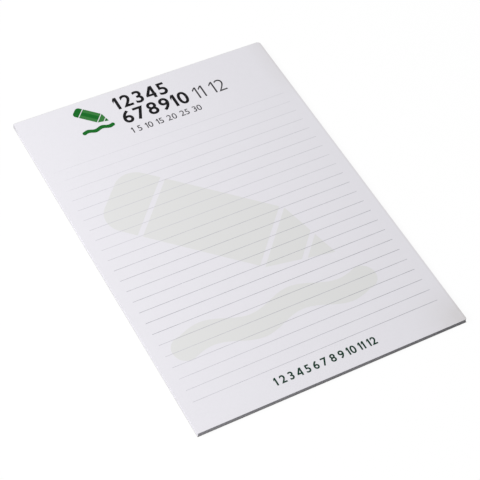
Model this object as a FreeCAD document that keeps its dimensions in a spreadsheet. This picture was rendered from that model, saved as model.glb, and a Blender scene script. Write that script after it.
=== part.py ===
import FreeCAD, Part
import os
import Sketcher

# An A5 legal pad: loose leaves on a grey board, held together by a film of glue over the head.
# X runs across the sheet and Y up the sheet, with the head at +Y. The pad lies on its board at Z = 0.
# The origin is under the middle of the whole pad, glue film included, on the resting face.

SIZES = [
    ("sheet_width", 148.0, "A5 sheet, across"),
    ("sheet_length", 210.0, "A5 sheet, head to foot"),
    ("leaf_count", 25, "leaves in the block"),
    ("leaf_thickness", 0.085, "a leaf at its cut edge"),
    ("leaf_gap", 0.0125, "open line between two cut edges"),
    ("edge_relief", 0.15, "how deep the cut edges lie open on the three free sides"),
    ("board_thickness", 0.4, "grey backing board"),
    ("glue_thickness", 0.3, "film of glue over the head face"),
    ("glue_rounding", 0.12, "radius of the film's upper and lower edge"),
]

# Expressions that several pieces share
HALF_WIDTH = "Sizes.sheet_width / 2"
HALF_LENGTH = "Sizes.sheet_length / 2"
HALF_GLUE = "Sizes.glue_thickness / 2"
BLOCK_HEIGHT = "(Sizes.leaf_count * Sizes.leaf_thickness + (Sizes.leaf_count - 1) * Sizes.leaf_gap)"
HALF_HEIGHT = f"(Sizes.board_thickness + {BLOCK_HEIGHT}) / 2"

SKETCH_ORIGIN = (-1, 1)
SAME_PLACE = 1e-6


def fill_sheet(doc):
    sheet = doc.addObject("Spreadsheet::Sheet", "Sizes")
    for row, (alias, value, meaning) in enumerate(SIZES, start=1):
        sheet.set(f"A{row}", meaning)
        sheet.set(f"B{row}", str(value))
        sheet.setAlias(f"B{row}", alias)
    doc.recompute()


def add_body(doc, label):
    body = doc.addObject("PartDesign::Body", label)
    body.Label = label
    return body


def origin_feature(body, role):
    return next(feature for feature in body.Origin.OriginFeatures if feature.Role == role)


def add_distance(sketch, name, direction, start, end, expression):
    """A named distance from one sketch point to another, tied to an expression of the sizes."""
    index = sketch.addConstraint(Sketcher.Constraint(direction, *start, *end, 1.0))
    sketch.renameConstraint(index, name)
    sketch.setExpression(f"Constraints.{name}", expression)


def draw_rectangle(body, name, plane_role, left, right, low, high):
    """A sketch of a rectangle about its own origin, each side at its own distance from it."""
    sketch = body.newObject("Sketcher::SketchObject", name)
    sketch.AttachmentSupport = (origin_feature(body, plane_role), [""])
    sketch.MapMode = "FlatFace"
    corners = [FreeCAD.Vector(*place) for place in ((-1, -1, 0), (1, -1, 0), (1, 1, 0), (-1, 1, 0))]
    for corner, following in zip(corners, corners[1:] + corners[:1]):
        sketch.addGeometry(Part.LineSegment(corner, following))
    for side, direction in enumerate(("Horizontal", "Vertical", "Horizontal", "Vertical")):
        sketch.addConstraint(Sketcher.Constraint("Coincident", side, 2, (side + 1) % 4, 1))
        sketch.addConstraint(Sketcher.Constraint(direction, side))
    low_left, high_right = (0, 1), (2, 1)
    add_distance(sketch, "left", "DistanceX", low_left, SKETCH_ORIGIN, left)
    add_distance(sketch, "low", "DistanceY", low_left, SKETCH_ORIGIN, low)
    add_distance(sketch, "right", "DistanceX", SKETCH_ORIGIN, high_right, right)
    add_distance(sketch, "high", "DistanceY", SKETCH_ORIGIN, high_right, high)
    return sketch


def add_pad(body, name, sketch, length):
    pad = body.newObject("PartDesign::Pad", name)
    pad.Profile = sketch
    pad.setExpression("Length", length)
    return pad


def build_backing_board(doc):
    """Grey board of the sheet's own size, cut together with the leaves."""
    body = add_body(doc, "backing_board")
    outline = draw_rectangle(
        body, "board_outline", "XY_Plane", HALF_WIDTH, HALF_WIDTH, HALF_LENGTH, HALF_LENGTH
    )
    add_pad(body, "board", outline, "Sizes.board_thickness")
    body.setExpression("Placement.Base.y", f"-{HALF_GLUE}")
    return body


def build_page_block(doc):
    """All leaves as one solid. Their cut edges lie open at the sides and the foot, and shut at the head."""
    body = add_body(doc, "page_block")
    open_side = f"{HALF_WIDTH} - Sizes.edge_relief"
    open_foot = f"{HALF_LENGTH} - Sizes.edge_relief"
    shut_outline = draw_rectangle(
        body, "shut_outline", "XY_Plane", open_side, open_side, open_foot, HALF_LENGTH
    )
    add_pad(body, "shut_paper", shut_outline, BLOCK_HEIGHT)

    leaf_outline = draw_rectangle(
        body, "leaf_outline", "XY_Plane", HALF_WIDTH, HALF_WIDTH, HALF_LENGTH, HALF_LENGTH
    )
    lowest_leaf = add_pad(body, "lowest_leaf", leaf_outline, "Sizes.leaf_thickness")

    leaves = body.newObject("PartDesign::LinearPattern", "leaves")
    leaves.Originals = [lowest_leaf]
    leaves.Direction = (origin_feature(body, "Z_Axis"), [""])
    leaves.setExpression("Occurrences", "Sizes.leaf_count")
    leaves.setExpression("Length", f"{BLOCK_HEIGHT} - Sizes.leaf_thickness")
    body.Tip = leaves

    body.setExpression("Placement.Base.y", f"-{HALF_GLUE}")
    body.setExpression("Placement.Base.z", "Sizes.board_thickness")
    return body


def long_outer_edges(film):
    """Names of the upper and lower edge of the film's outer face."""
    outer_face = film.BoundBox.YMax - SAME_PLACE
    return [
        f"Edge{number}"
        for number, edge in enumerate(film.Edges, start=1)
        if edge.BoundBox.YMin > outer_face and edge.BoundBox.XLength > edge.BoundBox.ZLength
    ]


def build_glue_binding(doc):
    """A film brushed over the head face of leaves and board, rounded outside and cut flush at both sides."""
    body = add_body(doc, "glue_binding")
    outline = draw_rectangle(
        body, "film_outline", "XZ_Plane", HALF_WIDTH, HALF_WIDTH, HALF_HEIGHT, HALF_HEIGHT
    )
    film = add_pad(body, "film", outline, "Sizes.glue_thickness")
    film.Reversed = True
    doc.recompute()

    rounding = body.newObject("PartDesign::Fillet", "rounding")
    rounding.Base = (film, long_outer_edges(film.Shape))
    rounding.setExpression("Radius", "Sizes.glue_rounding")

    body.setExpression("Placement.Base.y", f"{HALF_LENGTH} - {HALF_GLUE}")
    body.setExpression("Placement.Base.z", HALF_HEIGHT)
    return body


def check(doc, bodies):
    for thing in doc.Objects:
        if {"Invalid", "Error"} & set(thing.State):
            raise RuntimeError(f"{thing.Label} failed: {thing.State}")
    for body in bodies:
        if body.Shape.isNull() or not body.Shape.isValid() or len(body.Shape.Solids) != 1:
            raise RuntimeError(f"{body.Label} isn't one valid solid")


def main():
    os.makedirs("parts", exist_ok=True)
    doc = FreeCAD.newDocument("legal_pad")
    fill_sheet(doc)
    bodies = [build_backing_board(doc), build_page_block(doc), build_glue_binding(doc)]
    doc.recompute()
    check(doc, bodies)
    for body in bodies:
        body.Shape.exportStep(f"parts/{body.Label}.step")
        box = body.Shape.BoundBox
        print(f"{body.Label}: {box.XLength:.3f} x {box.YLength:.3f} x {box.ZLength:.4f}")
        print(f"  from {box.YMin:.3f} to {box.YMax:.3f} in Y, {box.ZMin:.4f} to {box.ZMax:.4f} in Z")
        print(f"  volume {body.Shape.Volume:.2f}")


main()
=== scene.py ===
import math
import random

import bmesh
import bpy
from mathutils import Matrix, Vector, noise


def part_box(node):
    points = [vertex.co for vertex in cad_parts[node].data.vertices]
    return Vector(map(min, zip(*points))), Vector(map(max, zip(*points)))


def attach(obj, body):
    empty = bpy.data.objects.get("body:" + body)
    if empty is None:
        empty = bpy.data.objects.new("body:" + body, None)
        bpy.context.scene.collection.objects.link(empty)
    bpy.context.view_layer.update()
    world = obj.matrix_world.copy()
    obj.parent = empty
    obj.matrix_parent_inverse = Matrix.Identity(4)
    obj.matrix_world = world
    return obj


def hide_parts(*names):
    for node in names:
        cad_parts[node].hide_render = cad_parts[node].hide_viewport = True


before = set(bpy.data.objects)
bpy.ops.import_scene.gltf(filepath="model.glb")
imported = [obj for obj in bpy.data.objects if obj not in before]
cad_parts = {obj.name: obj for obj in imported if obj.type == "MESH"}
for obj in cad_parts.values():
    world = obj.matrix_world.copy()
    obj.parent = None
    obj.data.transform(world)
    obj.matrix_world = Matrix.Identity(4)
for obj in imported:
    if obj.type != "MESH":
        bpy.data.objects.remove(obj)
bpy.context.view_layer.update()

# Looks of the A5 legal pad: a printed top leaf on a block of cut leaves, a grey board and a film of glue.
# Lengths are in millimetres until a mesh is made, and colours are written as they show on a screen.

MM = 0.001

# Places on the pad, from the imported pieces
BLOCK_LOW, BLOCK_HIGH = [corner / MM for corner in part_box("page_block")]
GLUE_LOW, GLUE_HIGH = [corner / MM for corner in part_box("glue_binding")]
HALF_WIDTH = (BLOCK_HIGH.x - BLOCK_LOW.x) / 2
HALF_LENGTH = (BLOCK_HIGH.y - BLOCK_LOW.y) / 2
SHEET_MIDDLE = (BLOCK_LOW + BLOCK_HIGH) / 2

# The leaves. The ink lies on the top one, so that leaf's face is an ink film below the block's top.
LEAF_COUNT = 25
TINT_FILM = 0.010
INK_FILM = 0.020
SHEET_TOP = BLOCK_HIGH.z - INK_FILM
LEAF_PITCH = (SHEET_TOP - BLOCK_LOW.z) / LEAF_COUNT
LEAF_PARTING = 0.0005
LEAF_SEED = 25

# A leaf's outline: how far apart its points are, how many steps a corner has, and the radii of the
# left and the right corner
EDGE_STEP = 4.0
BEND_STEPS = 4
HEAD_BENDS = 0.3, 1.6
FOOT_BENDS = 0.3, 0.9

# How a leaf differs from the others: its usual nudge, the room that is kept for it,
# and the least and the most of its wave's swing and of its wave's length
USUAL_NUDGE = 0.012
NUDGE_ROOM = 0.03
SWINGS = 0.003, 0.011
WAVE_LENGTHS = 38, 90

# How the cut edges are softened: the usual radius, the least and the most share of it that a leaf gets,
# and how far in and up from a leaf's face the point on the rounding lies, in shares of the radius
EDGE_ROUNDING = 0.016
ROUNDING_SHARES = 0.8, 1.1
ON_ROUNDING = 0.3, 0.35

# The print, measured from the middle of the sheet
RULE_COUNT = 23
RULE_PITCH = 7.0
FIRST_RULE = 65.1
RULE_LEFT, RULE_RIGHT = -68.2, 67.0
RULE_WEIGHT = 0.25
MONTH_HEIGHT = 8.8
MONTH_LEFT = -20.0
MONTH_WEIGHT = 0.25
EMBLEM_MIDDLE, EMBLEM_SCALE = (-34.1, 91.5), 0.97
PALE_MIDDLE, PALE_SCALE = (-4.0, -10.0), 5.9
SAME_PLACE = 0.0001

# The font's figures at a size of 1, and the gap between two figures in shares of their height
FIGURE_HEIGHT = 0.69
FIGURE_STROKE = 0.098
FIGURE_GAP = 0.12

# How much of the paper the rules' ink hides: at the head, and what it gains down the sheet,
# as the height where a gain starts, the one where it is full, and the gain
RULE_COVER_AT_HEAD = 0.22
RULE_COVER_GAINS = (60.0, 36.0, 0.27), (10.0, -7.0, 0.29), (-22.0, -45.0, 0.24), (-48.0, -90.0, -0.12)

# Painted shade and painted light on the cut edges at the foot: how much darker they are at their left and
# right end. Below nothing is lighter.
FOOT_PAINTED_LIGHT_AND_SHADE = -0.21, 0.30

# The studio. The camera's place is measured from the middle of the block's top.
FLOOR_HALF = 1500.0
WINDOW_PLACE = -1054.0, 199.0, 900.0
WINDOW_SIZE = 520.0
WINDOW_POWER = 18.5
CAMERA_PLACE = -270.705, -420.148, 609.476
CAMERA_TURN = 38.4078, -3.9398, -28.4607
SENSOR_WIDTH = 36.0
LENS = 116.878


class Flow:
    """A node's output that plain arithmetic works on: Math nodes for values, Vector Math for the rest."""

    def __init__(self, finish, socket):
        self.finish = finish
        self.socket = socket

    def __add__(self, other):
        return self.finish.combine("ADD", self, other)

    def __radd__(self, other):
        return self.finish.combine("ADD", other, self)

    def __sub__(self, other):
        return self.finish.combine("SUBTRACT", self, other)

    def __rsub__(self, other):
        return self.finish.combine("SUBTRACT", other, self)

    def __mul__(self, other):
        return self.finish.combine("MULTIPLY", self, other)

    def __rmul__(self, other):
        return self.finish.combine("MULTIPLY", other, self)

    def __truediv__(self, other):
        return self.finish.combine("DIVIDE", self, other)

    def __rtruediv__(self, other):
        return self.finish.combine("DIVIDE", other, self)


class Finish:
    """The nodes of a material or of the world: each comes from node(), and show() ends them."""

    def __init__(self, owner):
        self.owner = owner
        owner.use_nodes = True
        self.tree = owner.node_tree
        self.tree.nodes.clear()

    def node(self, kind, settings=None, sockets=None, output=0):
        """One node of that kind: its settings first, then the values or links of its sockets."""
        made = self.tree.nodes.new("ShaderNode" + kind)
        for name, value in (settings or {}).items():
            setattr(made, name, value)
        for key, value in (sockets or {}).items():
            self.feed(find_socket(made.inputs, key), value)
        return Flow(self, find_socket(made.outputs, output)) if made.outputs else None

    def feed(self, socket, value):
        if isinstance(value, Flow):
            self.tree.links.new(value.socket, socket)
        elif socket.type == "RGBA":
            socket.default_value = (*value, 1.0)
        elif socket.type == "VECTOR" and isinstance(value, (int, float)):
            socket.default_value = (value,) * 3
        else:
            socket.default_value = value

    def combine(self, operation, first, second):
        terms = (first, second)
        numbers = all(
            term.socket.type == "VALUE" if isinstance(term, Flow) else isinstance(term, (int, float))
            for term in terms
        )
        kind = "Math" if numbers else "VectorMath"
        return self.node(kind, {"operation": operation}, dict(enumerate(terms)))

    def millimetres(self):
        """The place on the pad, in millimetres, in the frame that all pieces share."""
        return self.node("TexCoord", output="Object") * (1 / MM)

    def axis(self, place, letter):
        return self.node("SeparateXYZ", sockets={0: place}, output=letter)

    def facing(self, letter):
        """How far the surface faces along an axis, from -1 to 1."""
        return self.axis(self.node("NewGeometry", output="Normal"), letter)

    def noise(self, place, scale, detail=2.0, roughness=0.5):
        settings = {"noise_dimensions": "3D"}
        sockets = {"Vector": place, "Scale": scale, "Detail": detail, "Roughness": roughness}
        return self.node("TexNoise", settings, sockets, "Fac")

    def ramp(self, value, low, high, start=0.0, end=1.0):
        """start below low, end above high, and even in between."""
        sockets = {0: value, 1: low, 2: high, 3: start, 4: end}
        return self.node("MapRange", {"clamp": True}, sockets)

    def fade(self, value, near, far, most=1.0):
        """most up to near, nothing from far on, and even in between."""
        return self.ramp(value, near, far, most, 0.0)

    def mix(self, factor, first, second):
        sockets = {"Factor_Float": factor, "A_Color": first, "B_Color": second}
        return self.node("Mix", {"data_type": "RGBA"}, sockets, "Result_Color")

    def bump(self, height, depth):
        """Relief whose full height is depth millimetres."""
        return self.node("Bump", sockets={"Strength": 1.0, "Distance": depth * MM, "Height": height})

    def dress(self, colour, roughness, normal, specular=0.3):
        """The finished material, from what changes over its surface and how much it mirrors."""
        sockets = {
            "Base Color": colour,
            "Roughness": roughness,
            "Normal": normal,
            "Specular IOR Level": specular,
        }
        return self.show("OutputMaterial", self.node("BsdfPrincipled", sockets=sockets))

    def background_rays(self):
        """1 where the background is looked at, directly, in a reflection or through glass."""
        seen, mirrored, passed = [
            self.node("LightPath", output=f"Is {kind} Ray") for kind in ("Camera", "Glossy", "Transmission")
        ]
        return self.node("Math", {"operation": "MINIMUM"}, {0: seen + mirrored + passed, 1: 1.0})

    def show(self, output, surface):
        self.node(output, sockets={"Surface": surface})
        return self.owner


def new_finish(name):
    return Finish(bpy.data.materials.new(name))


def find_socket(sockets, key):
    """A socket by its number, or by its identifier or name."""
    if isinstance(key, int):
        return sockets[key]
    return next(socket for socket in sockets if key in (socket.identifier, socket.name))


def screen(red, green, blue):
    """A colour as a screen shows it, 0 to 255, in the linear values that a shader takes."""
    shares = [level / 255 for level in (red, green, blue)]
    return tuple(s / 12.92 if s <= 0.04045 else ((s + 0.055) / 1.055) ** 2.4 for s in shares)


PAPER_WHITE = screen(240, 238.3, 244.2)
RULE_GREY = screen(158, 159, 166)
HEADING_BLACK = screen(18, 17, 20)
LIGHT_GREEN = screen(57, 127, 61)
DARK_GREEN = screen(13, 108, 33)
FOOT_GREEN = screen(8, 56, 38)
TINT_GREEN = screen(233.2, 233.2, 232.6)
# the grey of the painted shade on the sheet
PAINTED_SHADE_GREY = screen(214, 210, 208)
BOARD_DARK = screen(174, 173, 169)
BOARD_LIGHT = screen(194, 193, 189)
STRAND_BROWN = screen(140, 137, 131)
FLECK_PALE = screen(218, 216, 211)
CUT_BOARD = screen(236, 235, 231)
GLUE_DULL = screen(226, 226, 222)
GLUE_BRIGHT = screen(240, 240, 238)
FLOOR_DULL = screen(80, 80, 82)
FLOOR_SHADED = screen(62, 62, 62)
FULL_WHITE = 1.0, 1.0, 1.0


def unevenness(pattern, depth):
    """A pattern about 0.5 as one about nothing: depth is the change from its lowest to its highest."""
    return (pattern - 0.5) * depth


def paper_grain(finish, place):
    """Cloudy formation and fine fibres, both about 0.5, and the fibres' relief."""
    clouds = finish.noise(place, scale=0.22, detail=3.0)
    stretched = place * (1.0, 0.35, 1.0)
    fibres = finish.noise(stretched, scale=3.1, detail=4.0, roughness=0.62)
    specks = finish.noise(place, scale=7.5)
    return clouds, fibres, fibres * 0.7 + specks * 0.3


def paper_tone(colour, clouds, fibres):
    return colour * (1.0 + unevenness(clouds, 0.02) + unevenness(fibres, 0.035))


def handling(finish, place, clouds):
    """Painted shade on the sheet: darker around the lower right corner, in a thin strip along the right
    edge, and along the right edge near the head.
    """
    right = SHEET_MIDDLE.x + HALF_WIDTH
    corner = (right, SHEET_MIDDLE.y - HALF_LENGTH, BLOCK_HIGH.z)
    from_corner = finish.node("VectorMath", {"operation": "DISTANCE"}, {0: place, 1: corner}, "Value")
    # painted shade around the lower right corner
    painted_corner_shade = finish.fade(from_corner, near=3.0, far=32.0, most=0.73)
    from_edge = right - finish.axis(place, "X")
    # painted shade in a thin strip along the right edge
    painted_edge_shade = finish.fade(from_edge, near=0.0, far=1.4, most=0.35)
    near_head = finish.ramp(finish.axis(place, "Y"), low=58.0, high=78.0)
    # painted shade along the right edge near the head
    painted_head_shade = finish.fade(from_edge, near=0.0, far=11.0, most=0.2) * near_head
    return (painted_corner_shade * painted_corner_shade + painted_edge_shade + painted_head_shade) * (1.0 + unevenness(clouds, 0.8))


def sheet_paper():
    """Smooth uncoated writing paper, a cool white, with painted shade at the lower right corner and along
    the right edge.
    """
    finish = new_finish("sheet_paper")
    place = finish.millimetres()
    clouds, fibres, relief = paper_grain(finish, place)
    # painted shade: the paper is mixed towards a grey at the lower right corner and along the right edge
    colour = finish.mix(handling(finish, place, clouds), PAPER_WHITE, PAINTED_SHADE_GREY)
    toned = paper_tone(colour, clouds, fibres)
    return finish.dress(toned, 0.86 + fibres * 0.1, finish.bump(relief, depth=0.006))


def printed(name, ink, cover, roughness=0.75):
    """Ink that lies on the sheet: cover is how much of the paper it hides."""
    finish = new_finish(name)
    place = finish.millimetres()
    clouds, fibres, relief = paper_grain(finish, place)
    paper = paper_tone(PAPER_WHITE, clouds, fibres)
    mottled = finish.ramp(fibres, low=0.3, high=0.7, start=0.98 * cover, end=cover)
    colour = finish.mix(mottled, paper, ink)
    return finish.dress(colour, roughness + fibres * 0.1, finish.bump(relief, depth=0.004), specular=0.04)


def rule_ink():
    """Thin grey ink, palest at the head, where the lines start faint, and pale at the lower left too."""
    finish = new_finish("rule_ink")
    place = finish.millimetres()
    clouds, fibres, relief = paper_grain(finish, place)
    paper = paper_tone(PAPER_WHITE, clouds, fibres)
    up = finish.axis(place, "Y")
    across = finish.axis(place, "X")
    fullness = RULE_COVER_AT_HEAD
    for start, full, gain in RULE_COVER_GAINS:
        fullness = fullness + finish.fade(up, near=full, far=start, most=gain)
    starved = finish.fade(up, near=-62.0, far=-42.0, most=0.45) * finish.fade(across, near=-60.0, far=45.0)
    faint = finish.ramp(up, low=40.0, high=54.0, end=0.75) * finish.fade(across, near=-66.0, far=-60.0)
    patches = finish.noise(place * (0.35, 1.3, 1.0), scale=0.5, detail=3.0, roughness=0.6)
    broken = finish.ramp(patches, low=0.3, high=0.6, start=0.7)
    cover = fullness * (1.0 - starved) * (1.0 - faint) * broken
    colour = finish.mix(cover, paper, RULE_GREY)
    return finish.dress(colour, 0.8 + fibres * 0.1, finish.bump(relief, depth=0.004))


def cut_edges():
    """The leaves' cut edges: each leaf a little lighter or darker, with the drag marks of the knife, and
    painted light and shade along the foot.
    """
    finish = new_finish("cut_edges")
    place = finish.millimetres()
    height = finish.axis(place, "Z")
    leaf = finish.node("Math", {"operation": "FLOOR"}, {0: (height - BLOCK_LOW.z) / LEAF_PITCH})
    own_tone = finish.node("TexWhiteNoise", {"noise_dimensions": "1D"}, {"W": leaf}, "Value")
    fuzz = finish.noise(place, scale=9.0, detail=3.0, roughness=0.6)
    drag = finish.noise(place * (1.0, 1.0, 0.08), scale=2.2, detail=3.0)
    tone = 0.93 + own_tone * 0.04 + unevenness(fuzz, 0.08) + unevenness(drag, 0.05)
    past_glued_end = finish.axis(place, "Y") - (SHEET_MIDDLE.y + HALF_LENGTH)
    near_glue = finish.ramp(past_glued_end + drag * 3.0, low=-9.0, high=1.0)
    at_foot = finish.fade(finish.facing("Y"), near=-0.8, far=-0.5)
    # painted light at the left end of the foot's cut edges, painted shade at their right end
    painted_foot_light_and_shade = finish.ramp(finish.axis(place, "X"), -HALF_WIDTH, HALF_WIDTH, *FOOT_PAINTED_LIGHT_AND_SHADE) * at_foot
    colour = PAPER_WHITE * (tone - near_glue * near_glue * 0.3 - painted_foot_light_and_shade)
    return finish.dress(colour, 0.9 + fuzz * 0.08, finish.bump(fuzz * 0.5 + drag * 0.5, depth=0.015))


def grey_board():
    """Grey board pressed from waste paper: mottled, with darker and lighter fibres."""
    finish = new_finish("grey_board")
    place = finish.millimetres()
    clouds = finish.noise(place, scale=0.12, detail=4.0, roughness=0.6)
    pulp = finish.noise(place, scale=1.6, detail=5.0, roughness=0.68)
    strands = finish.noise(place * (2.2, 0.45, 1.0), scale=0.9, detail=3.0, roughness=0.6)
    flecks = finish.noise(place * (0.6, 1.0, 1.0), scale=1.5, detail=1.0)
    mottling = finish.ramp(clouds * 0.4 + pulp * 0.6, low=0.35, high=0.65)
    base = finish.mix(mottling, BOARD_DARK, BOARD_LIGHT)
    darker = finish.ramp(strands, low=0.54, high=0.66, end=0.6)
    with_strands = finish.mix(darker, base, STRAND_BROWN)
    pale = finish.ramp(flecks, low=0.62, high=0.70, end=0.65)
    face_colour = finish.mix(pale, with_strands, FLECK_PALE)
    upright = finish.facing("Z")
    cut = finish.fade(upright * upright, near=0.2, far=0.6, most=0.7)
    colour = finish.mix(cut, face_colour, CUT_BOARD)
    relief = pulp * 0.6 + strands * 0.4
    return finish.dress(colour, 0.88 + pulp * 0.1, finish.bump(relief, depth=0.03))


def padding_glue():
    """Flexible white padding glue, brushed on and dried to a skin."""
    finish = new_finish("padding_glue")
    place = finish.millimetres()
    streaks = finish.noise(place * (0.12, 1.0, 2.4), scale=1.2, detail=4.0, roughness=0.6)
    clouds = finish.noise(place, scale=0.35, detail=3.0)
    colour = finish.mix(streaks * 0.6 + clouds * 0.4, GLUE_DULL, GLUE_BRIGHT)
    roughness = finish.ramp(streaks, low=0.3, high=0.7, start=0.32, end=0.52)
    return finish.dress(colour, roughness, finish.bump(streaks, depth=0.04), specular=0.5)


def add_piece(name, mesh, slot, *materials):
    piece = bpy.data.objects.new(name, mesh)
    bpy.context.scene.collection.objects.link(piece)
    for material in materials:
        mesh.materials.append(material)
    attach(piece, "root")
    return piece


def mesh_from(name, build):
    """A mesh from a function that fills a bmesh in millimetres."""
    mesh = bpy.data.meshes.new(name)
    shape = bmesh.new()
    build(shape)
    bmesh.ops.recalc_face_normals(shape, faces=shape.faces)
    shape.transform(Matrix.Scale(MM, 4))
    shape.to_mesh(mesh)
    shape.free()
    return mesh


def leaf_outline():
    """Points round the sheet, each with how it moves outward with its cut edges. The head doesn't move."""
    right, left = HALF_WIDTH, -HALF_WIDTH
    foot, head = -HALF_LENGTH, HALF_LENGTH
    corners = [
        ((left, foot), (-1, -1), (0, -1), FOOT_BENDS[0]),
        ((right, foot), (1, -1), (1, 0), FOOT_BENDS[1]),
        ((right, head), (1, 0), (0, 0), HEAD_BENDS[1]),
        ((left, head), (-1, 0), (-1, 0), HEAD_BENDS[0]),
    ]
    points = []
    for number, ((x, y), at_corner, along, bend) in enumerate(corners):
        (next_x, next_y), _, _, next_bend = corners[(number + 1) % len(corners)]
        inward_x, inward_y = math.copysign(bend, -x), math.copysign(bend, -y)
        start = math.atan2(-inward_y, -inward_x) - math.pi / 4
        for step in range(BEND_STEPS + 1):
            angle = start + step / BEND_STEPS * math.pi / 2
            arc_x, arc_y = bend * math.cos(angle), bend * math.sin(angle)
            points.append((x + inward_x + arc_x, y + inward_y + arc_y, *at_corner))
        length = math.dist((x, y), (next_x, next_y))
        steps = round(length / EDGE_STEP)
        for step in range(1, steps):
            share = (bend + (length - bend - next_bend) * step / steps) / length
            points.append((x + (next_x - x) * share, y + (next_y - y) * share, *along))
    return points


OUTLINE = leaf_outline()


def add_leaf(shape, low, high, luck):
    """One leaf with softened cut edges, nudged and waved by about a hundredth of a millimetre."""
    nudge_x = luck.gauss(0, USUAL_NUDGE)
    nudge_y = luck.gauss(0, USUAL_NUDGE)
    phase = luck.uniform(0, math.tau)
    swing = luck.uniform(*SWINGS)
    wave_length = luck.uniform(*WAVE_LENGTHS)

    def ring(inset, height):
        vertices = []
        for x, y, out_x, out_y in OUTLINE:
            travel = (x + y) / wave_length * math.tau + phase
            reach = swing * (math.sin(travel) - 1) - inset - NUDGE_ROOM
            place_x = x + out_x * reach + nudge_x * abs(out_x)
            place_y = y + out_y * reach + nudge_y * abs(out_y)
            vertices.append(
                shape.verts.new((SHEET_MIDDLE.x + place_x, SHEET_MIDDLE.y + place_y, height))
            )
        return vertices

    softened = EDGE_ROUNDING * luck.uniform(*ROUNDING_SHARES)
    inward, upward = [softened * share for share in ON_ROUNDING]
    rings = [
        ring(softened, low),
        ring(inward, low + upward),
        ring(0, low + softened),
        ring(0, high - softened),
        ring(inward, high - upward),
        ring(softened, high),
    ]
    count = len(OUTLINE)
    for lower, upper in zip(rings, rings[1:]):
        for i in range(count):
            j = (i + 1) % count
            side = shape.faces.new((lower[i], lower[j], upper[j], upper[i]))
            side.material_index = 1
    shape.faces.new(list(reversed(rings[0])))
    shape.faces.new(rings[-1])


def build_leaves(paper, edges):
    """The block of leaves under the top one, and the printed top leaf, each leaf a closed sheet."""
    luck = random.Random(LEAF_SEED)

    def lower_leaves(shape):
        for number in range(LEAF_COUNT - 1):
            low = BLOCK_LOW.z + number * LEAF_PITCH
            add_leaf(shape, low, low + LEAF_PITCH - LEAF_PARTING, luck)

    def top_leaf(shape):
        add_leaf(shape, SHEET_TOP - LEAF_PITCH, SHEET_TOP, luck)

    stack = add_piece("leaf_stack", mesh_from("leaf_stack", lower_leaves), "paper", paper, edges)
    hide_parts("page_block")
    top = add_piece("top_leaf", mesh_from("top_leaf", top_leaf), "paper", paper, edges)
    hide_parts("page_block")


def filled(curve, film):
    """The shape that a flat curve encloses, as a mesh film millimetres thick about its own plane."""
    curve.dimensions = "2D"
    curve.fill_mode = "BOTH"
    curve.extrude = film / 2
    drawn = bpy.data.objects.new("drawn", curve)
    bpy.context.scene.collection.objects.link(drawn)
    bpy.context.view_layer.update()
    flat = bpy.data.meshes.new_from_object(drawn.evaluated_get(bpy.context.evaluated_depsgraph_get()))
    bpy.data.objects.remove(drawn)
    bpy.data.curves.remove(curve)
    return flat


def add_print(name, shapes, film, ink):
    """One closed film of ink on the top sheet, from flat shapes and their places on the sheet."""

    def join(shape):
        for flat, x, y in shapes:
            place = (SHEET_MIDDLE.x + x, SHEET_MIDDLE.y + y, SHEET_TOP + film / 2)
            flat.transform(Matrix.Translation(place))
            shape.from_mesh(flat)
            bpy.data.meshes.remove(flat)
        bmesh.ops.remove_doubles(shape, verts=shape.verts, dist=SAME_PLACE)

    add_piece(name, mesh_from(name, join), "paper", ink)


def outlined(outlines, film):
    """A flat shape from closed outlines in millimetres."""
    curve = bpy.data.curves.new("outlines", "CURVE")
    for outline in outlines:
        spline = curve.splines.new("POLY")
        spline.points.add(len(outline) - 1)
        for point, (x, y) in zip(spline.points, outline):
            point.co = (x, y, 0, 1)
        spline.use_cyclic_u = True
    return filled(curve, film)


def rectangle(left, low, right, high):
    return [(left, low), (right, low), (right, high), (left, high)]


def build_rules(ink):
    """All ruled lines, from the highest down."""
    half = RULE_WEIGHT / 2
    lines = []
    for number in range(RULE_COUNT):
        middle = FIRST_RULE - number * RULE_PITCH
        lines.append(rectangle(RULE_LEFT, middle - half, RULE_RIGHT, middle + half))
    add_print("ruled_lines", [(outlined(lines, INK_FILM), 0, 0)], INK_FILM, ink)


def figure_one(height, stroke):
    """A one with a short slanted flag."""
    width = 0.3 * height
    stem = width - stroke
    flag_end = 0.8 * height
    flag_depth = 1.15 * stroke
    return [
        (stem, 0),
        (width, 0),
        (width, height),
        (stem, height),
        (0, flag_end),
        (0, flag_end - flag_depth),
        (stem, height - flag_depth),
    ]


def figure_four(height, stroke):
    """A four with an open triangle: its outline and that of the triangle."""
    stem, width = 0.44 * height, 0.66 * height
    low = 0.2 * height
    high = low + 0.9 * stroke
    slope_low = Vector((0, low + 0.7 * stroke))
    slope_high = Vector((stem - 0.1 * stroke, height))
    outline = [
        (stem, 0),
        (stem + stroke, 0),
        (stem + stroke, low),
        (width, low),
        (width, high),
        (stem + stroke, high),
        (stem + stroke, height),
        tuple(slope_high),
        tuple(slope_low),
        (0, low),
        (stem, low),
    ]
    along = (slope_high - slope_low).normalized()
    inner = slope_low + Vector((along.y, -along.x)) * stroke * 0.95
    rise = along.y / along.x
    left = inner.x + (high - inner.y) / rise
    top = inner.y + (stem - inner.x) * rise
    return [outline, [(left, high), (stem, high), (stem, top)]]


def plain_figure(figure, height, weight):
    """One figure of a number, standing on the base line: weight is what its strokes are thickened by."""
    size = (height - 2 * weight) / FIGURE_HEIGHT
    stroke = FIGURE_STROKE * size + 2 * weight
    if figure == "1":
        return outlined([figure_one(height, stroke)], INK_FILM)
    if figure == "4":
        return outlined(figure_four(height, stroke), INK_FILM)
    text = bpy.data.curves.new("figure", "FONT")
    text.body = figure
    text.size = size
    text.offset = weight
    flat = filled(text, INK_FILM)
    flat.transform(Matrix.Translation((0, weight, 0)))
    return flat


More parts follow.
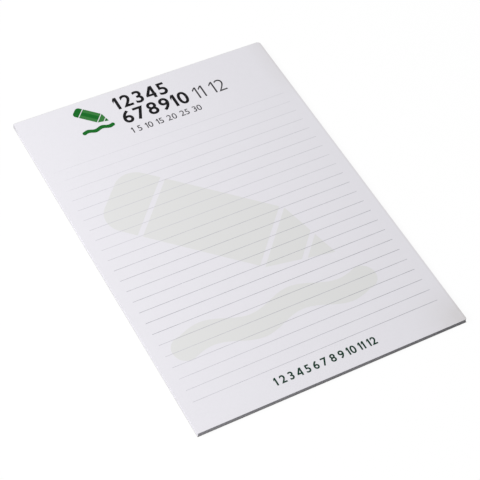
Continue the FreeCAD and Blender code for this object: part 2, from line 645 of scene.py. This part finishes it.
def plain_number(number, height, weight):
    """The figures of a number, each with its place from the number's left end, and the number's width."""
    figures = []
    reach = 0.0
    for figure in str(number):
        flat = plain_figure(figure, height, weight)
        left = min(vertex.co.x for vertex in flat.vertices)
        right = max(vertex.co.x for vertex in flat.vertices)
        figures.append((flat, reach - left))
        reach += right - left + FIGURE_GAP * height
    return figures, reach - FIGURE_GAP * height


def number_row(numbers, height, left, right, base, weight):
    """Plain numbers set evenly between two ends, on a base line."""
    made = [plain_number(number, height, weight) for number in numbers]
    gap = (right - left - sum(width for _, width in made)) / (len(made) - 1)
    row = []
    for figures, width in made:
        row += [(flat, left + shift, base) for flat, shift in figures]
        left += width + gap
    return row


def build_heading(ink, thin_ink):
    """A strip to tick a date on: the months in two rows, and days of the month under them."""
    bold = {"height": MONTH_HEIGHT, "left": MONTH_LEFT, "weight": MONTH_WEIGHT}
    first = number_row(range(1, 6), **bold, right=11.0, base=91.1)
    second = number_row(range(6, 11), **bold, right=18.6, base=80.3)
    last = number_row((11, 12), height=8.4, left=22.4, right=41.0, base=80.5, weight=-0.18)
    dates = (1, 5, 10, 15, 20, 25, 30)
    days = number_row(dates, height=3.9, left=-19.6, right=21.6, base=72.8, weight=0.02)
    add_print("month_row_1", first, INK_FILM, ink)
    add_print("month_row_2", second, INK_FILM, ink)
    add_print("month_row_3", last, INK_FILM, thin_ink)
    add_print("day_row", days, INK_FILM, thin_ink)


def placed(outlines, middle, scale, angle=0.0):
    """Outlines turned by an angle in degrees, scaled and moved to their place."""
    cos = math.cos(math.radians(angle)) * scale
    sin = math.sin(math.radians(angle)) * scale
    return [
        [(middle[0] + x * cos - y * sin, middle[1] + x * sin + y * cos) for x, y in outline]
        for outline in outlines
    ]


def pencil():
    """A stout pencil, 20 mm long, with its point at the left: lead, wood, body, stripe and round end."""
    point, tip, shoulder, body_end, end = -10.0, -7.9, -4.7, 6.0, 10.0
    half = 3.4
    stripe_half = half * 0.36
    slope = half / (shoulder - point)
    gap = 0.45
    corner, corner_steps = 2.0, 12
    tip_half, wood_half = (tip - point) * slope, (tip + gap - point) * slope
    lead = [(point, 0), (tip, -tip_half), (tip, tip_half)]
    wood = [(tip + gap, -wood_half), (shoulder, -half), (shoulder, half), (tip + gap, wood_half)]
    body = rectangle(shoulder + gap, -half, body_end, half)
    stripe = rectangle(shoulder + gap, -stripe_half, body_end, stripe_half)
    round_end = [(body_end + gap, -half)]
    for side, start in ((-1, -90), (1, 0)):
        for step in range(corner_steps + 1):
            angle = math.radians(start + step / corner_steps * 90)
            x = end - corner + corner * math.cos(angle)
            round_end.append((x, side * (half - corner) + corner * math.sin(angle)))
    round_end.append((body_end + gap, half))
    return lead, wood, body, stripe, round_end


def drawn_line():
    """The thick wavy line under the pencil's point, with round ends."""
    half, left, right = 1.25, -9.0, 7.6
    height, swing, pace = -8.6, 0.55, 0.75
    steps, end_steps = 40, 16
    low, high = [], []
    for step in range(steps + 1):
        x = left + (right - left) * step / steps
        y = height + swing * math.sin((x - left) * pace)
        low.append((x, y - half))
        high.append((x, y + half))
    round_right, round_left = [], []
    for step in range(1, end_steps):
        angle = math.pi * (step / end_steps - 0.5)
        across, up = half * math.cos(angle), half * math.sin(angle)
        round_right.append((high[-1][0] + across, high[-1][1] - half + up))
        round_left.append((high[0][0] - across, high[0][1] - half - up))
    return low + round_right + high[::-1] + round_left


def motif(middle, scale):
    """The pencil over its line, as outlines: its light parts, its deep ones, its stripe and the line."""
    lead, wood, body, stripe, round_end = pencil()
    aside, above, lean = -0.4, 1.5, 137
    pencil_middle = (middle[0] + aside * scale, middle[1] + above * scale)
    groups = (wood, body), (lead, round_end), (stripe,)
    parts = [placed(group, pencil_middle, scale, lean) for group in groups]
    return *parts, placed((drawn_line(),), middle, scale)


def build_emblem(light, dark):
    """A stout pencil in two greens, leaning over the end of the line that it draws."""
    light_parts, deep_parts, stripe, line = motif(EMBLEM_MIDDLE, EMBLEM_SCALE)
    add_print("emblem_light", [(outlined(light_parts, TINT_FILM), 0, 0)], TINT_FILM, light)
    add_print("emblem_dark", [(outlined(deep_parts + stripe + line, INK_FILM), 0, 0)], INK_FILM, dark)


def build_tint(tint):
    """The same motif, large and pale behind the ruled lines."""
    light_parts, deep_parts, _, line = motif(PALE_MIDDLE, PALE_SCALE)
    whole = outlined(light_parts + deep_parts + line, TINT_FILM)
    add_print("pale_motif", [(whole, 0, 0)], TINT_FILM, tint)


def build_page_numbers(ink):
    """A row of plain page numbers in the foot margin."""
    row = number_row(range(1, 13), height=4.5, left=-28.8, right=27.2, base=-98.2, weight=0.13)
    add_print("page_numbers", row, INK_FILM, ink)


def build_glue(glue):
    """The glue film as it dries: streaked along the head, thinner in places, rounded above and below.

    Its points stand in columns along the head, and closest together where the film rounds.
    """
    steps = 296
    left, right = GLUE_LOW.x + HEAD_BENDS[0], GLUE_HIGH.x - HEAD_BENDS[1]
    across = [left + (right - left) * step / steps for step in range(steps + 1)]
    shares = [0.0, 0.015, 0.05, 0.11, 0.2, 0.3, 0.42, 0.5, 0.58, 0.7, 0.8, 0.89, 0.95, 0.985, 1.0]
    heights = [GLUE_LOW.z + (GLUE_HIGH.z - GLUE_LOW.z) * share for share in shares]
    full = GLUE_HIGH.y - GLUE_LOW.y
    usual, streaked, at_edge = 0.86, 0.13, 0.35
    rounding = 0.16

    def thickness(x, z):
        brush = noise.noise(Vector((x * 0.05, 0.0, z * 2.2)))
        ripple = noise.noise(Vector((x * 0.4, 3.0, z * 1.1)))
        streak = max(-1.0, min(1.0, brush + 0.5 * ripple))
        inside = min(min(z - GLUE_LOW.z, GLUE_HIGH.z - z) / rounding, 1.0)
        shoulder = at_edge + (1 - at_edge) * math.sqrt(1 - (1 - inside) ** 2)
        return full * (usual + streaked * streak) * shoulder

    def film(shape):
        rows = []
        for x in across:
            inner_low = shape.verts.new((x, GLUE_LOW.y, GLUE_LOW.z))
            outer = [shape.verts.new((x, GLUE_LOW.y + thickness(x, z), z)) for z in heights]
            inner_high = shape.verts.new((x, GLUE_LOW.y, GLUE_HIGH.z))
            rows.append([inner_low, *outer, inner_high])
        for here, following in zip(rows, rows[1:]):
            for i in range(len(here)):
                j = (i + 1) % len(here)
                shape.faces.new((here[i], here[j], following[j], following[i]))
        shape.faces.new(rows[0])
        shape.faces.new(list(reversed(rows[-1])))

    piece = add_piece("glue_film", mesh_from("glue_film", film), "glue", glue)
    end_facing = 0.9
    for polygon in piece.data.polygons:
        polygon.use_smooth = abs(polygon.normal.x) < end_facing
    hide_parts("glue_binding")


def finish_board():
    """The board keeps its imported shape, and only its material is new."""
    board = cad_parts["backing_board"]
    board.data.materials.clear()
    board.data.materials.append(grey_board())


def build_floor():
    """A floor that shows white with the pad's faint shadow, and throws little light back on the pad.

    Its glow is only there to be seen, so it isn't sampled as a lamp. That would make the cut edges grainy.
    """
    finish = new_finish("studio_floor")
    dull = finish.node("BsdfDiffuse", sockets={"Color": FLOOR_DULL})
    shaded = finish.node("BsdfDiffuse", sockets={"Color": FLOOR_SHADED})
    glow = finish.node("Emission", sockets={"Color": FULL_WHITE, "Strength": 0.96})
    white = finish.node("AddShader", sockets={0: shaded, 1: glow})
    both = finish.node("MixShader", sockets={0: finish.background_rays(), 1: dull, 2: white})
    finish.show("OutputMaterial", both)

    def plane(shape):
        corners = rectangle(-FLOOR_HALF, -FLOOR_HALF, FLOOR_HALF, FLOOR_HALF)
        shape.faces.new([shape.verts.new((x, y, 0.0)) for x, y in corners])

    floor = bpy.data.objects.new("studio_floor", mesh_from("studio_floor", plane))
    bpy.context.scene.collection.objects.link(floor)
    finish.owner.cycles.emission_sampling = "NONE"
    floor.data.materials.append(finish.owner)


def add_lamp(name, place, aim, size, power):
    """A square soft light, placed and aimed in millimetres."""
    lamp = bpy.data.lights.new(name, "AREA")
    lamp.shape = "SQUARE"
    lamp.size = size * MM
    lamp.energy = power
    holder = bpy.data.objects.new(name, lamp)
    holder.location = Vector(place) * MM
    holder.rotation_euler = (Vector(aim) - Vector(place)).to_track_quat("-Z", "Y").to_euler()
    bpy.context.scene.collection.objects.link(holder)


def light_studio():
    """One soft window to the left of the head, and an even fill from a white room."""
    add_lamp("window_light", WINDOW_PLACE, (0.0, 0.0, 0.0), WINDOW_SIZE, WINDOW_POWER)
    room = Finish(bpy.data.worlds.new("studio"))
    fill = room.node("Background", sockets={"Color": FULL_WHITE, "Strength": 0.30})
    white = room.node("Background", sockets={"Color": FULL_WHITE, "Strength": 1.0})
    room.show("OutputWorld", room.node("MixShader", sockets={0: room.background_rays(), 1: fill, 2: white}))
    bpy.context.scene.world = room.owner
    bpy.context.scene.view_settings.view_transform = "Standard"


def place_camera():
    """Held to the left of the foot, well above the pad, with a long lens and a slight roll."""
    camera = bpy.data.cameras.new("photo_camera")
    camera.sensor_width = SENSOR_WIDTH
    camera.lens = LENS
    camera.clip_start = 0.05
    camera.clip_end = 20.0
    holder = bpy.data.objects.new("photo_camera", camera)
    block_top = Vector((SHEET_MIDDLE.x, SHEET_MIDDLE.y, BLOCK_HIGH.z))
    holder.location = (block_top + Vector(CAMERA_PLACE)) * MM
    holder.rotation_euler = [math.radians(angle) for angle in CAMERA_TURN]
    bpy.context.scene.collection.objects.link(holder)
    bpy.context.scene.camera = holder


def main():
    paper = sheet_paper()
    edges = cut_edges()
    build_leaves(paper, edges)
    build_rules(rule_ink())
    heading_ink = printed("heading_ink", HEADING_BLACK, 1.0)
    build_heading(heading_ink, printed("thin_heading_ink", HEADING_BLACK, 0.95))
    build_emblem(printed("light_green_ink", LIGHT_GREEN, 1.0), printed("dark_green_ink", DARK_GREEN, 1.0))
    build_tint(printed("pale_tint", TINT_GREEN, 1.0, 0.86))
    build_page_numbers(printed("foot_green_ink", FOOT_GREEN, 1.0))
    build_glue(padding_glue())
    finish_board()
    build_floor()
    light_studio()
    place_camera()


main()
